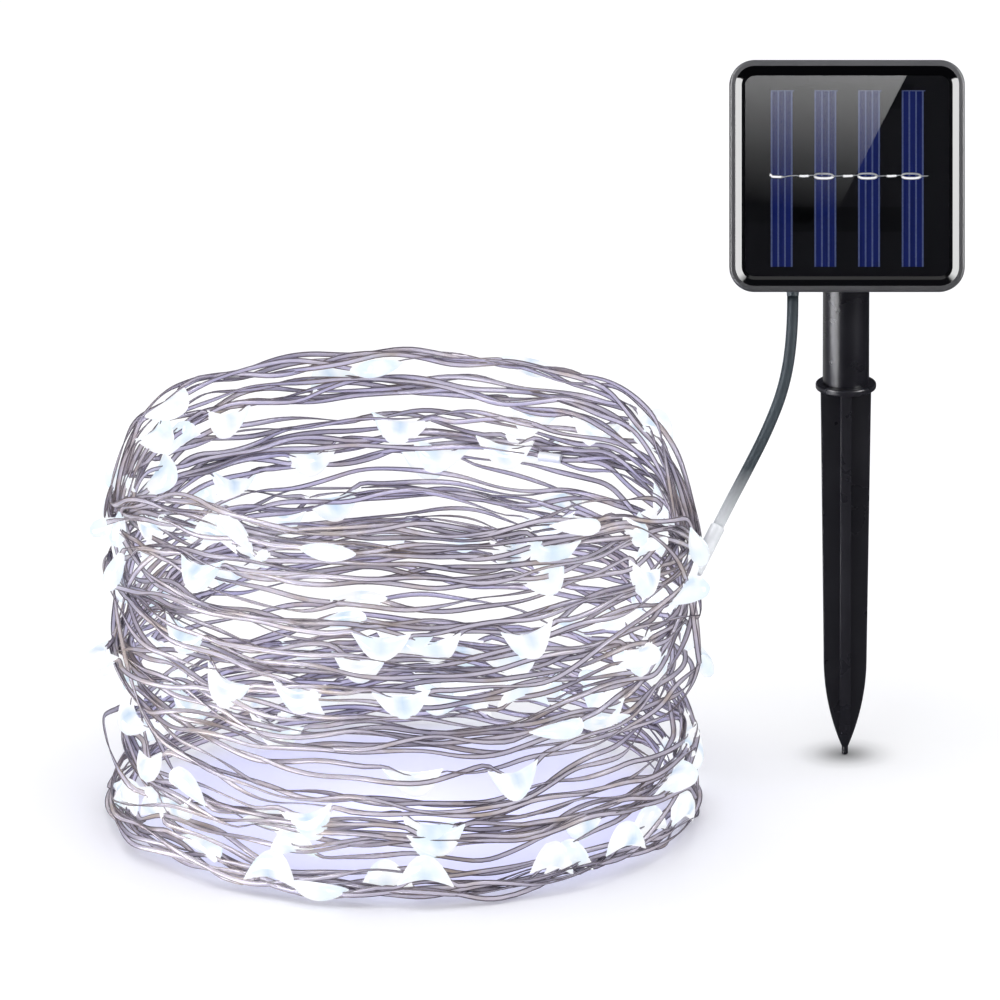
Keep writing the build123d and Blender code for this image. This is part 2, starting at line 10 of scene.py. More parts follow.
import bpy
import bmesh
from mathutils import Matrix, Vector


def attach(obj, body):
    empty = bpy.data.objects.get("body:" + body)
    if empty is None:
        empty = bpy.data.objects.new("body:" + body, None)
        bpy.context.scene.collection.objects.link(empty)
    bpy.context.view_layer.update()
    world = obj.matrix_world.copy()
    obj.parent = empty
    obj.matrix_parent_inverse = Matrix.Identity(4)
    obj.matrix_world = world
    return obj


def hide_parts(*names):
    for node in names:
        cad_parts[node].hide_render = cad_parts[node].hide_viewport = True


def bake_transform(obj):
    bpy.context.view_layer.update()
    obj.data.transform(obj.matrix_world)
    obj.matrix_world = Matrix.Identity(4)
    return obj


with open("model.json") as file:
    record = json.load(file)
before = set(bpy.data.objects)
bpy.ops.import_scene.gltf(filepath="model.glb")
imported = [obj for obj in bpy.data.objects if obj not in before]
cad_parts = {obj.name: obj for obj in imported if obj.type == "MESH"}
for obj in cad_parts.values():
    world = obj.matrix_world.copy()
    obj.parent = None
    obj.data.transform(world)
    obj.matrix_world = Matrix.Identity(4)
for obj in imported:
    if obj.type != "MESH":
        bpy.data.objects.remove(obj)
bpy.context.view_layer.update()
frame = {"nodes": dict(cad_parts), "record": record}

MM = 0.001

# ------------------------------------------------------------------- driving dimensions

# the head and its own directions: across, up along the panel, out of the panel
HEAD_SIZE = (70.0 * MM, 69.0 * MM, 21.0 * MM)
HEAD_CORNER = 7.5 * MM
HEAD_LEAN = radians(18.0)
RIM = 1.7 * MM
BEVEL = 1.9 * MM
PANEL_INSET = RIM + BEVEL + 1.0 * MM
PANEL_DEPTH = 1.5 * MM               # the panel's face below the rim
HINGE = Vector((0, 0, 173.0 * MM))
HINGE_OFFSET = 8.0 * MM              # from the hinge to the housing's back, and to its middle
ACROSS = Vector((1, 0, 0))
OUT = Vector((0, -cos(HEAD_LEAN), sin(HEAD_LEAN)))
UP = Vector((0, sin(HEAD_LEAN), cos(HEAD_LEAN)))
HEAD_BACK = HINGE + OUT * HINGE_OFFSET + UP * HINGE_OFFSET
PANEL_MIDDLE = HEAD_BACK + OUT * (HEAD_SIZE[2] - PANEL_DEPTH)

# solar cells
CELL_SIZE = (6.5 * MM, 52.4 * MM)
CELL_PITCH = 13.0 * MM
CELL_COUNT = 4
CELL_DROP = 0.85 * MM
CELL_FACE = -0.6 * MM                # the cells' faces, from the panel's face

# lead
LEAD_DIAMETER = 3.4 * MM
GLAND_END = Vector((-16.1, -23.777, 151.600)) * MM
LEAD_ROUTE = [
    GLAND_END,
    GLAND_END - UP * 11.0 * MM,
    Vector((-18.4, -31.0, 126.0)) * MM,
    Vector((-23.6, -36.0, 113.6)) * MM,
    Vector((-29.9, -42.0, 102.6)) * MM,
    Vector((-35.4, -48.2, 93.8)) * MM,
    Vector((-38.4, -51.6, 88.6)) * MM,
]
SLEEVE_LENGTH = 16.0 * MM
SLEEVE_WAY = (LEAD_ROUTE[-1] - LEAD_ROUTE[-2]).normalized()
SLEEVE_END = LEAD_ROUTE[-1] + SLEEVE_WAY * SLEEVE_LENGTH

# the string of lights, wound as a drum
COIL_CENTRE = Vector((-132.4, -57.0, 0)) * MM
COIL_TURNS = 72
COIL_HEIGHT = 119.0 * MM
COIL_RADIUS = 85.0 * MM
COIL_WALL = 12.0 * MM
RIGHT_BUNDLES = [height * MM for height in (4.0, 26.0, 48.0, 67.0, 86.0)]
LEFT_BUNDLES = [height * MM for height in (4.0, 28.0, 53.0, 78.0, 96.0)]
PINCH = 20.0                         # degrees from the side within which turns are gathered
LOW_MARGIN, TOP_MARGIN = 4.5 * MM, 3.0 * MM
SWEEPS = 8.6
FIRST_PHASE = 0.7
LAST_STRETCH = 0.35
DWELL = 0.45
FRONT_SAG = 1.25
FREE_SPREAD = 0.16
STRAY = 0.15
TIE_SPREAD = 3.2 * MM
WALL_SPREAD = 0.42
SEED = 11
STRING_WIDTH = 1.7 * MM
CORE_RADIUS = 0.2 * MM
WEB_HALF = 0.09 * MM
FIRST_BEAD = 420.0 * MM
BEAD_PITCH = 250.0 * MM
PLAIN_END = 60.0 * MM
BEAD_HALF = 8.7 * MM
BEAD_DROP = 10.2 * MM
BEAD_DEPTH = 2.7 * MM
BEADS_PER_PIECE = 8

nodes = frame["nodes"]


def head_point(across, up, out):
    """A place given from the middle of the panel's face, in the head's directions."""
    return PANEL_MIDDLE + ACROSS * across + UP * up + OUT * out


# ------------------------------------------------------------------------ shader helpers


class Paint:
    """A new material with one Principled shader, and short ways to add nodes to it."""

    def __init__(self, name, colour, roughness=0.5, **sockets):
        self.material = bpy.data.materials.new(name)
        self.material.use_nodes = True
        self.tree = self.material.node_tree
        self.shader = self.tree.nodes["Principled BSDF"]
        self.output = self.tree.nodes["Material Output"]
        self.set("Base Color", (*colour, 1.0))
        self.set("Roughness", roughness)
        for socket, value in sockets.items():
            self.set(socket.replace("_", " "), value)

    def set(self, socket, value):
        self.shader.inputs[socket].default_value = value

    def node(self, kind, **settings):
        made = self.tree.nodes.new(kind)
        for name, value in settings.items():
            setattr(made, name, value)
        return made

    def link(self, start, end):
        self.tree.links.new(start, end)
        return end

    def place(self):
        """The surface's own place, which stays with the piece when it moves."""
        return self.node("ShaderNodeTexCoord").outputs["Object"]

    def noise(self, scale, detail=3.0, stretch=None, roughness=0.5):
        """Noise with about scale patches to the metre, stretched along some axes."""
        made = self.node("ShaderNodeTexNoise")
        made.inputs["Scale"].default_value = scale
        made.inputs["Detail"].default_value = detail
        made.inputs["Roughness"].default_value = roughness
        where = self.place()
        if stretch:
            mapping = self.node("ShaderNodeMapping")
            mapping.inputs["Scale"].default_value = stretch
            self.link(where, mapping.inputs["Vector"])
            where = mapping.outputs["Vector"]
        self.link(where, made.inputs["Vector"])
        return made.outputs["Fac"]

    def math(self, operation, a, b=0.0):
        made = self.node("ShaderNodeMath", operation=operation)
        for socket, value in zip(made.inputs, (a, b)):
            if isinstance(value, bpy.types.NodeSocket):
                self.link(value, socket)
            else:
                socket.default_value = value
        return made.outputs[0]

    def vector(self, operation, a, b=(0.0, 0.0, 0.0), output=0):
        made = self.node("ShaderNodeVectorMath", operation=operation)
        for socket, value in zip(made.inputs, (a, b)):
            if isinstance(value, bpy.types.NodeSocket):
                self.link(value, socket)
            else:
                socket.default_value = value
        return made.outputs[output]

    def ramp(self, source, *stops):
        """Colours or greys along source, each stop a place and a colour."""
        made = self.node("ShaderNodeValToRGB")
        band = made.color_ramp
        while len(band.elements) < len(stops):
            band.elements.new(0.5)
        for element, (place, colour) in zip(band.elements, stops):
            element.position = place
            grey = not hasattr(colour, "__len__")
            element.color = (colour,) * 3 + (1.0,) if grey else (*colour, 1.0)
        self.link(source, made.inputs["Fac"])
        return made.outputs["Color"]

    def mix(self, share, a, b):
        """Colour a where share is 0, and b where it is 1."""
        made = self.node("ShaderNodeMix", data_type="RGBA")
        for socket, value in ((made.inputs[0], share), (made.inputs[6], a), (made.inputs[7], b)):
            if isinstance(value, bpy.types.NodeSocket):
                self.link(value, socket)
            elif hasattr(value, "__len__"):
                socket.default_value = (*value, 1.0)
            else:
                socket.default_value = value
        return made.outputs[2]

    def range(self, source, low, high, to_low=0.0, to_high=1.0):
        made = self.node("ShaderNodeMapRange")
        for name, value in zip(
            ("From Min", "From Max", "To Min", "To Max"), (low, high, to_low, to_high)
        ):
            made.inputs[name].default_value = value
        self.link(source, made.inputs["Value"])
        return made.outputs["Result"]

    def bump(self, height, distance, strength=0.5):
        made = self.node("ShaderNodeBump")
        made.inputs["Strength"].default_value = strength
        made.inputs["Distance"].default_value = distance
        self.link(height, made.inputs["Height"])
        self.link(made.outputs["Normal"], self.shader.inputs["Normal"])

    def colour(self, source):
        self.link(source, self.shader.inputs["Base Color"])

    def rough(self, source):
        self.link(source, self.shader.inputs["Roughness"])


def moulded(name, dark, light, roughness, grain=2600.0, depth=0.02 * MM, **sockets):
    """Moulded plastic or rubber: a fine grain, and faint patches of colour and polish."""
    paint = Paint(name, light, roughness, **sockets)
    patches = paint.noise(90.0, 4.0)
    paint.colour(paint.ramp(patches, (0.3, dark), (0.7, light)))
    paint.rough(paint.range(patches, 0.3, 0.7, roughness - 0.05, roughness + 0.05))
    paint.bump(paint.noise(grain, 2.0), depth, 0.35)
    return paint.material


def metal(name, colour, roughness, stretch=(1, 1, 1)):
    """Plated metal with fine drawn streaks."""
    paint = Paint(name, colour, roughness, Metallic=1.0)
    streaks = paint.noise(900.0, 3.0, stretch)
    darker = [channel * 0.82 for channel in colour]
    paint.colour(paint.ramp(streaks, (0.3, darker), (0.7, colour)))
    paint.rough(paint.range(streaks, 0.3, 0.7, roughness - 0.06, roughness + 0.08))
    return paint.material


# ----------------------------------------------------------------------------- materials


def inside_rim(paint):
    """1 inside the rim's inner edge and 0 elsewhere, and how far up the panel."""
    where = paint.vector("SUBTRACT", paint.place(), tuple(PANEL_MIDDLE))
    across = paint.vector("DOT_PRODUCT", where, tuple(ACROSS), "Value")
    up = paint.vector("DOT_PRODUCT", where, tuple(UP), "Value")
    out = paint.vector("DOT_PRODUCT", where, tuple(OUT), "Value")
    corner = HEAD_CORNER - RIM
    pair = paint.node("ShaderNodeCombineXYZ")
    for socket, value, size in zip(pair.inputs, (across, up), HEAD_SIZE):
        beyond = paint.math("SUBTRACT", paint.math("ABSOLUTE", value), size / 2 - RIM - corner)
        paint.link(paint.math("MAXIMUM", beyond, 0.0), socket)
    reach = paint.vector("LENGTH", pair.outputs[0], output="Value")
    inside = paint.math("LESS_THAN", reach, corner - 0.02 * MM)
    sunk = paint.math("LESS_THAN", out, PANEL_DEPTH - 0.03 * MM)
    return paint.math("MULTIPLY", inside, sunk), up


MATT_BAND = 5.4 * MM


def bezel_material():
    """Satin grey-black outside, and a black slope inside the rim, matt along the top."""
    paint = Paint("bezel_plastic", (0.1, 0.1, 0.102), 0.4, IOR=1.5)
    inside, up = inside_rim(paint)
    patches = paint.noise(70.0, 4.0)
    rim = paint.ramp(patches, (0.3, (0.070, 0.070, 0.074)), (0.7, (0.085, 0.085, 0.089)))
    # painted light and shade: the rim is painted darker towards the panel's bottom and lighter towards its top, as if
    # lit from above
    lit_from_above = paint.range(up, -HEAD_SIZE[1] / 2, HEAD_SIZE[1] / 2, 0.68, 1.12)
    rim = paint.vector("MULTIPLY", rim, lit_from_above)
    paint.colour(paint.mix(inside, rim, (0.002, 0.002, 0.0025)))
    lower = paint.math("LESS_THAN", up, HEAD_SIZE[1] / 2 - MATT_BAND)
    shiny = paint.math("MAXIMUM", lower, paint.math("SUBTRACT", 1.0, inside))
    paint.link(paint.math("MULTIPLY", shiny, 0.5), paint.shader.inputs["Specular IOR Level"])
    satin = paint.range(patches, 0.3, 0.7, 0.33, 0.42)
    paint.rough(paint.math("SUBTRACT", satin, paint.math("MULTIPLY", inside, 0.3)))
    return paint.material


def cell_material():
    """Blue silicon: faint vertical streaks."""
    paint = Paint("cell_silicon", (0.002, 0.008, 0.16), 0.3, Specular_IOR_Level=0.12)
    streaks = paint.noise(520.0, 3.0, (1.0, 0.04, 0.04))
    paint.colour(paint.ramp(streaks, (0.25, (0.0065, 0.020, 0.185)), (0.75, (0.0095, 0.029, 0.265))))
    paint.rough(paint.range(streaks, 0.25, 0.75, 0.22, 0.36))
    return paint.material


def film_material():
    """The clear top of the resin: it lets all through, and mirrors a little."""
    paint = Paint("clear_resin", (1, 1, 1), 0.0)
    clear = paint.node("ShaderNodeBsdfTransparent")
    clear.inputs["Color"].default_value = (0.97, 0.975, 0.985, 1.0)
    gloss = paint.node("ShaderNodeBsdfGlossy")
    gloss.inputs["Roughness"].default_value = 0.005
    edge = paint.node("ShaderNodeFresnel")
    edge.inputs["IOR"].default_value = 1.5
    mixed = paint.node("ShaderNodeMixShader")
    paint.link(edge.outputs[0], mixed.inputs[0])
    paint.link(clear.outputs[0], mixed.inputs[1])
    paint.link(gloss.outputs[0], mixed.inputs[2])
    paint.link(mixed.outputs[0], paint.output.inputs["Surface"])
    paint.tree.nodes.remove(paint.shader)
    return paint.material


def lead_material():
    """Slate jacket that pales towards the coil, with a faint fine grain."""
    paint = Paint("lead_pvc", (0.045, 0.06, 0.068), 0.55, Specular_IOR_Level=0.25)
    height = paint.node("ShaderNodeSeparateXYZ")
    paint.link(paint.place(), height.inputs[0])
    # painted light: the lead's colour pales towards the coil, standing in for the lit beads' glow on it
    painted_bead_glow = paint.range(height.outputs["Z"], 104 * MM, 88 * MM)
    patches = paint.noise(160.0, 3.0)
    slate = paint.ramp(patches, (0.3, (0.030, 0.039, 0.047)), (0.7, (0.040, 0.052, 0.061)))
    paint.colour(paint.mix(painted_bead_glow, slate, (0.70, 0.72, 0.74)))
    paint.bump(paint.noise(1800.0, 2.0), 0.02 * MM, 0.3)
    return paint.material


def core_material():
    """The string's two dark cores, which glint a little."""
    paint = Paint("string_core", (0.1, 0.085, 0.1), 0.34, IOR=1.55)
    patches = paint.noise(75.0, 3.0)
    stops = (0.3, (0.075, 0.063, 0.08)), (0.5, (0.15, 0.128, 0.158)), (0.72, (0.20, 0.155, 0.13))
    paint.colour(paint.ramp(patches, *stops))
    paint.bump(paint.noise(2400.0, 2.0), 0.02 * MM, 0.3)
    return paint.material


def web_material():
    """The clear jacket between the cores, milky lavender with some warmer stretches."""
    paint = Paint("string_web", (0.5, 0.46, 0.55), 0.3, IOR=1.45)
    patches = paint.noise(60.0, 3.0)
    stops = (0.3, (0.52, 0.49, 0.62)), (0.55, (0.64, 0.59, 0.68)), (0.74, (0.48, 0.39, 0.33))
    paint.colour(paint.ramp(patches, *stops))
    return paint.material


def bead_material():
    """Clear resin lit from inside: white, with pale blue patches and a pale blue heart."""
    paint = Paint("bead_resin", (0.2, 0.22, 0.25), 0.15, IOR=1.5)
    heart = paint.node("ShaderNodeAttribute", attribute_name="heart").outputs["Fac"]
    body = paint.ramp(paint.noise(110.0, 2.0), (0.45, (1.0, 1.0, 1.0)), (0.7, (0.78, 0.90, 0.97)))
    paint.link(paint.mix(heart, body, (0.36, 0.56, 0.78)), paint.shader.inputs["Emission Color"])
    paint.set("Emission Strength", 0.84)
    paint.bump(paint.noise(700.0, 2.0), 0.05 * MM, 0.4)
    paint.material.cycles.emission_sampling = "NONE"
    return paint.material


def steel():
    return metal("screw_steel", (0.62, 0.62, 0.63), 0.3)


NODE_FINISH = {
    "housing_plastic": lambda: moulded(
        "housing_plastic", (0.018, 0.018, 0.02), (0.026, 0.026, 0.029), 0.5
    ),
    "bezel_plastic": bezel_material,
    "seal_rubber": lambda: moulded("seal_rubber", (0.02,) * 3, (0.03,) * 3, 0.75),
    "screw_steel": steel,
    "gland_rubber": lambda: moulded(
        "gland_rubber", (0.045, 0.06, 0.07), (0.06, 0.078, 0.088), 0.5
    ),
    "cell_silicon": cell_material,
    "tab_silver": lambda: metal("tab_silver", (0.9, 0.9, 0.92), 0.25),
    "clear_resin": film_material,
    "board_black": lambda: moulded(
        "board_black", (0.0062, 0.0056, 0.0098), (0.0078, 0.0070, 0.0122), 0.35, grain=1500.0
    ),
    "battery_jacket": lambda: moulded(
        "battery_jacket", (0.06, 0.30, 0.11), (0.08, 0.36, 0.14), 0.3, grain=400.0
    ),
    "holder_plastic": lambda: moulded("holder_plastic", (0.02,) * 3, (0.03,) * 3, 0.55),
    "contact_nickel": lambda: metal("contact_nickel", (0.75, 0.73, 0.69), 0.28),
    "circuit_green": lambda: moulded(
        "circuit_green", (0.012, 0.11, 0.045), (0.02, 0.16, 0.06), 0.3, grain=900.0
    ),
    "component_black": lambda: moulded("component_black", (0.015,) * 3, (0.025,) * 3, 0.6),
    "component_copper": lambda: metal("component_copper", (0.65, 0.32, 0.17), 0.35, (1, 1, 12)),
    "component_aluminium": lambda: metal("component_aluminium", (0.62, 0.63, 0.65), 0.35),
    "wire_red": lambda: moulded("wire_red", (0.4, 0.015, 0.015), (0.5, 0.025, 0.02), 0.4),
    "wire_black": lambda: moulded("wire_black", (0.015,) * 3, (0.025,) * 3, 0.4),
    "button_rubber": lambda: moulded("button_rubber", (0.05,) * 3, (0.07,) * 3, 0.6),
    "stake_plastic": lambda: moulded(
        "stake_plastic", (0.0075, 0.0072, 0.0100), (0.0105, 0.0100, 0.0142), 0.3, depth=0.006 * MM
    ),
    # painted light: a lighter copy of the stake's black plastic, for the spike and its collar
    "spike_plastic": lambda: moulded(
        "spike_plastic", (0.0130, 0.0126, 0.0165), (0.0170, 0.0163, 0.0212), 0.3, depth=0.006 * MM
    ),
    "lead_pvc": lead_material,
    "sleeve_pvc": lambda: moulded(
        "sleeve_pvc", (0.74, 0.76, 0.78), (0.82, 0.84, 0.86), 0.4, grain=900.0
    ),
    "bead_resin": bead_material,
}
OWN_FINISH = {"ground_spike": "spike_plastic"}    # painted light: the spike has a lighter copy of the tube's plastic, standing in for the light on it and its collar
finishes = {}


def finish_of(name):
    """The material of one slot of the record, or of one node of its own, made once."""
    if name not in finishes:
        finishes[name] = NODE_FINISH[name]()
    return finishes[name]


def paint_nodes():
    """Gives every CAD node its slot's finish, and smooth shading across gentle edges."""
    for part in frame["record"]["subparts"]:
        node, slot = nodes[part["node"]], part["material_slot"]
        if slot not in NODE_FINISH:
            continue
        node.data.materials.clear()
        node.data.materials.append(finish_of(OWN_FINISH.get(part["node"], slot)))
        node.data.shade_smooth()
        node.data.set_sharp_from_angle(angle=radians(28))


# --------------------------------------------------------------------------- mesh helpers


def add_piece(name, mesh_data, material, body):
    """Makes an object from a bmesh or a mesh, and lets it ride on a body."""
    if isinstance(mesh_data, bmesh.types.BMesh):
        mesh = bpy.data.meshes.new(name)
        mesh_data.to_mesh(mesh)
        mesh_data.free()
    else:
        mesh = mesh_data
    piece = bpy.data.objects.new(name, mesh)
    bpy.context.scene.collection.objects.link(piece)
    for one in material if isinstance(material, list) else [material]:
        mesh.materials.append(one)
    if body:
        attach(piece, body)
    return piece


def spline_points(name, points, resolution):
    """The points of the smooth NURBS line that has these control points."""
    curve = bpy.data.curves.new(name, "CURVE")
    curve.dimensions = "3D"
    spline = curve.splines.new("NURBS")
    spline.points.add(len(points) - 1)
    for knot, point in zip(spline.points, points):
        knot.co = (*point, 1.0)
    spline.order_u = 3
    spline.use_endpoint_u = True
    spline.resolution_u = resolution
    holder = bpy.data.objects.new(name, curve)
    bpy.context.scene.collection.objects.link(holder)
    bpy.context.view_layer.update()
    graph = bpy.context.evaluated_depsgraph_get()
    line = bpy.data.meshes.new_from_object(holder.evaluated_get(graph))
    read = [vertex.co.copy() for vertex in line.vertices]
    bpy.data.objects.remove(holder)
    bpy.data.curves.remove(curve)
    bpy.data.meshes.remove(line)
    return read


def tangents(points):
    """The line's direction at each of its points."""
    ways = []
    for index in range(len(points)):
        before, after = points[max(index - 1, 0)], points[min(index + 1, len(points) - 1)]
        ways.append((after - before).normalized())
    return ways


def skin(bm, rings, closed_ends=True, material=0):
    """Faces between rings of vertices of the same count, and over both ends."""
    made = [[bm.verts.new(place) for place in ring] for ring in rings]
    count = len(made[0])
    for one, two in zip(made, made[1:]):
        for side in range(count):
            after = (side + 1) % count
            face = bm.faces.new((one[side], one[after], two[after], two[side]))
            face.smooth = True
            face.material_index = material
    if closed_ends:
        for ring in (list(reversed(made[0])), made[-1]):
            bm.faces.new(ring).material_index = material
    return made


def ring_round(centre, side, top, radius, count):
    return [
        centre + (side * cos(2 * pi * k / count) + top * sin(2 * pi * k / count)) * radius
        for k in range(count)
    ]


def carried_sides(ways, first):
    """A direction across the line at each point, turned as little as can be."""
    side = (first - ways[0] * first.dot(ways[0])).normalized()
    sides = []
    for way in ways:
        side = (side - way * side.dot(way)).normalized()
        sides.append(side)
    return sides


# --------------------------------------------------------------------------------- string


def winding():
    """How the string is wound, from the joint sleeve on the coil's right.

    Gives its free height in the middle of each half turn, in front or behind, its
    height in a bundle at each side, and its radius at each quarter turn.
    """
    dice = random.Random(SEED)
    low, high = LOW_MARGIN, COIL_HEIGHT - TOP_MARGIN
    halves = 2 * COIL_TURNS
    free = []
    for half in range(halves + 1):
        phase = (half / halves * SWEEPS + FIRST_PHASE) % 2.0
        share = phase if phase < 1 else 2 - phase
        level = (1 - DWELL) * share + DWELL * (1 - cos(pi * share)) / 2
        if half % 2 == 0:
            level **= FRONT_SAG
        level += dice.uniform(-FREE_SPREAD, FREE_SPREAD)
        free.append(low + min(max(level, 0), 1) * (high - low))
    tied = [SLEEVE_END.z]
    for side in range(1, halves + 1):
        bundles = LEFT_BUNDLES if side % 2 else RIGHT_BUNDLES
        wanted = (free[side - 1] + free[side]) / 2
        nearest = sorted(bundles, key=lambda height: abs(height - wanted))
        chosen = dice.choice(nearest[1:3]) if dice.random() < STRAY else nearest[0]
        tied.append(chosen + dice.uniform(-TIE_SPREAD, TIE_SPREAD))
    from_middle = SLEEVE_END - COIL_CENTRE
    radii = [hypot(from_middle.x, from_middle.y)]
    for quarter in range(2 * halves):
        radii.append(COIL_RADIUS + dice.uniform(-WALL_SPREAD, WALL_SPREAD) * (COIL_WALL - 2 * MM))
    return free, tied, radii


def eased(values, place):
    """Reads a list between its items, with a gentle start and end at each."""
    index = min(max(int(place), 0), len(values) - 2)
    share = min(max(place - index, 0.0), 1.0)
    step = values[index + 1] - values[index]
    return values[index] + step * share * share * (3 - 2 * share)


class Wobble:
    """A slow uneven wander along a length, as a few waves with seeded phases."""

    def __init__(self, dice, lengths, size):
        self.waves = [
            (2 * pi / (length * dice.uniform(0.8, 1.25)), dice.uniform(0, 2 * pi)) for length in lengths
        ]
        self.size = size / len(lengths) ** 0.5

    def at(self, along):
        return self.size * sum(sin(rate * along + phase) for rate, phase in self.waves)


WAVE_LENGTHS = (0.034, 0.055, 0.083, 0.131)
STEPS_PER_HALF = 96
RISE, SWELL = 2.0 * MM, 1.4 * MM     # how far the turns wander up and down, in and out
LEAST_HEIGHT = 1.6 * MM
BEGUN = 12.0 * MM                    # the string leaves the sleeve straight for this long


def wound_line():
    """Close points along the wound string, before the beads kink it: (along, place)."""
    dice = random.Random(SEED + 1)
    rise = Wobble(dice, WAVE_LENGTHS, RISE)
    swell = Wobble(dice, WAVE_LENGTHS, SWELL)
    free, tied, radii = winding()
    whole = 2 * COIL_TURNS - LAST_STRETCH
    spaced, travelled, last = [], 0.0, None
    for step in range(round(whole * STEPS_PER_HALF) + 1):
        turned = step / STEPS_PER_HALF
        side = round(turned)
        pull = exp(-(((turned - side) * 180 / PINCH) ** 2))
        height = eased(free, turned - 0.5)
        height += (tied[side] - height) * pull
        loose = (1 - 0.75 * pull) * min(1.0, turned / 0.2, (whole - turned) / 0.2)
        along = turned * COIL_RADIUS * pi
        height = max(height + loose * rise.at(along), LEAST_HEIGHT)
        radius = eased(radii, 2 * turned) + loose * swell.at(along)
        out = Vector((cos(-turned * pi), sin(-turned * pi), 0)) * radius
        place = COIL_CENTRE + out + Vector((0, 0, height))
        if last:
            travelled += (place - last).length
        last = place
        share = min(travelled / (2 * BEGUN), 1.0)
        straight = SLEEVE_END + SLEEVE_WAY * min(travelled, BEGUN)
        spaced.append((travelled, straight.lerp(place, share * share * (3 - 2 * share))))
    return spaced


class Line:
    """A line that can be read at any length along it."""

    def __init__(self, spaced):
        self.spaced = spaced
        self.whole = spaced[-1][0]
        self.index = 0

    def at(self, along):
        """The place at this length. Lengths are asked for in rising order, more or less."""
        along = min(max(along, 0.0), self.whole - 1e-9)
        while self.index and self.spaced[self.index][0] > along:
            self.index -= 1
        while self.spaced[self.index + 1][0] <= along:
            self.index += 1
        (s0, p0), (s1, p1) = self.spaced[self.index], self.spaced[self.index + 1]
        return p0.lerp(p1, (along - s0) / (s1 - s0))


# how far the string leaves its line beside a bead: place along, then share of the dip
HALF_KINK = ((2.5, 1.0), (5.5, 0.6), (8.5, -0.1), (11.5, -0.15), (15.0, 0.0))
KINK = [(-place, dip) for place, dip in reversed(HALF_KINK)] + list(HALF_KINK)
KINK_DIP = 3.4 * MM
STEP = 11.0 * MM


def bead_plan(whole):
    """Where the beads are along the string, and which way each hangs, as a roll."""
    dice = random.Random(SEED + 2)
    plan, along = [], FIRST_BEAD
    while along < whole - PLAIN_END:
        kind = dice.random()
        if kind < 0.62:
            roll = dice.gauss(0, 0.35)                  # hangs
        elif kind < 0.82:
            roll = dice.choice((-1, 1)) * dice.uniform(1.0, 1.9)
        else:
            roll = pi + dice.gauss(0, 0.4)              # stands up
        plan.append((along + dice.uniform(-9, 9) * MM, roll))
        along += BEAD_PITCH
    return plan


def outward(place):
    """Away from the coil's axis, level."""
    away = place - COIL_CENTRE
    return Vector((away.x, away.y, 0)).normalized()


def drop_way(place, way, roll):
    """The way a bead drops from the string, across it."""
    down = Vector((0, 0, -1))
    down = (down - way * down.dot(way)).normalized()
    out = way.cross(down)
    if out.dot(outward(place)) < 0:
        out = -out
    return (down * cos(roll) + out * sin(roll)).normalized()


def string_controls():
    """The control points of the whole string, and each bead's (middle, drop way)."""
    line = Line(wound_line())
    plan = bead_plan(line.whole)
    controls, middles = [], []
    reached = 0.0
    for along, roll in [*plan, (None, 0)]:
        start = line.whole if along is None else along + KINK[0][0] * MM
        steps = max(1, ceil((start - reached) / STEP))
        for step in range(steps):
            controls.append(line.at(reached + (start - reached) * step / steps))
        if along is None:
            break
        before, middle = line.at(along - 6 * MM), line.at(along)
        way = (line.at(along + 6 * MM) - before).normalized()
        drop = drop_way(middle, way, roll)
        if middle.z + drop.z * (BEAD_DROP + KINK_DIP) < LEAST_HEIGHT:
            drop = drop_way(middle, way, pi)            # no room to hang over the floor
        for offset, share in KINK:
            place = line.at(along + offset * MM)
            controls.append(place + drop * KINK_DIP * share)
        middles.append((middle + drop * KINK_DIP, drop))
        reached = along + (KINK[-1][0] + 3.0) * MM
    controls.append(line.at(line.whole))
    return controls, middles


def thinned(points, least):
    """The points with those nearer than least to the one before left out."""
    kept = [points[0]]
    for point in points[1:-1]:
        if (point - kept[-1]).length >= least:
            kept.append(point)
    kept.append(points[-1])
    return kept


def string_meshes(points):
    """The string's thin web and its two round cores, side by side, slowly twisting."""
    dice = random.Random(SEED + 3)
    turn = Wobble(dice, (0.07, 0.16, 0.31), 1.0)
    ways = tangents(points)
    apart = STRING_WIDTH / 2 - CORE_RADIUS
    cores, webs = ([], []), []
    along = 0.0
    for index, (point, way) in enumerate(zip(points, ways)):
        if index:
            along += (point - points[index - 1]).length
        out = outward(point)
        out = (out - way * out.dot(way)).normalized()
        flat = Matrix.Rotation(turn.at(along), 3, way) @ way.cross(out)
        thin = way.cross(flat)
        for core, side in zip(cores, (-1, 1)):
            core.append(ring_round(point + flat * apart * side, flat, thin, CORE_RADIUS, 5))
        edges = ((-1, 1), (1, 1), (1, -1), (-1, -1))
        webs.append([point + flat * STRING_WIDTH * 0.47 * a + thin * WEB_HALF * b for a, b in edges])
    meshes = []
    for rings in (webs, *cores):
        bm = bmesh.new()
        skin(bm, rings)
        meshes.append(bm)
    return meshes


def bead_profile(share):
    """Top and bottom of a bead, from the string down, and its half thickness: shares of
    its size, at a share of its half length."""
    across = min(abs(share), 1.0)
    top = 0.22 * (1 - across ** 1.5)                    # the top sags between its corners
    bottom = 1 - across ** 2.1
    thick = (1 - across ** 2) ** 0.8
    return top, bottom, thick


BEAD_RINGS = 16
BEAD_SIDES = 10


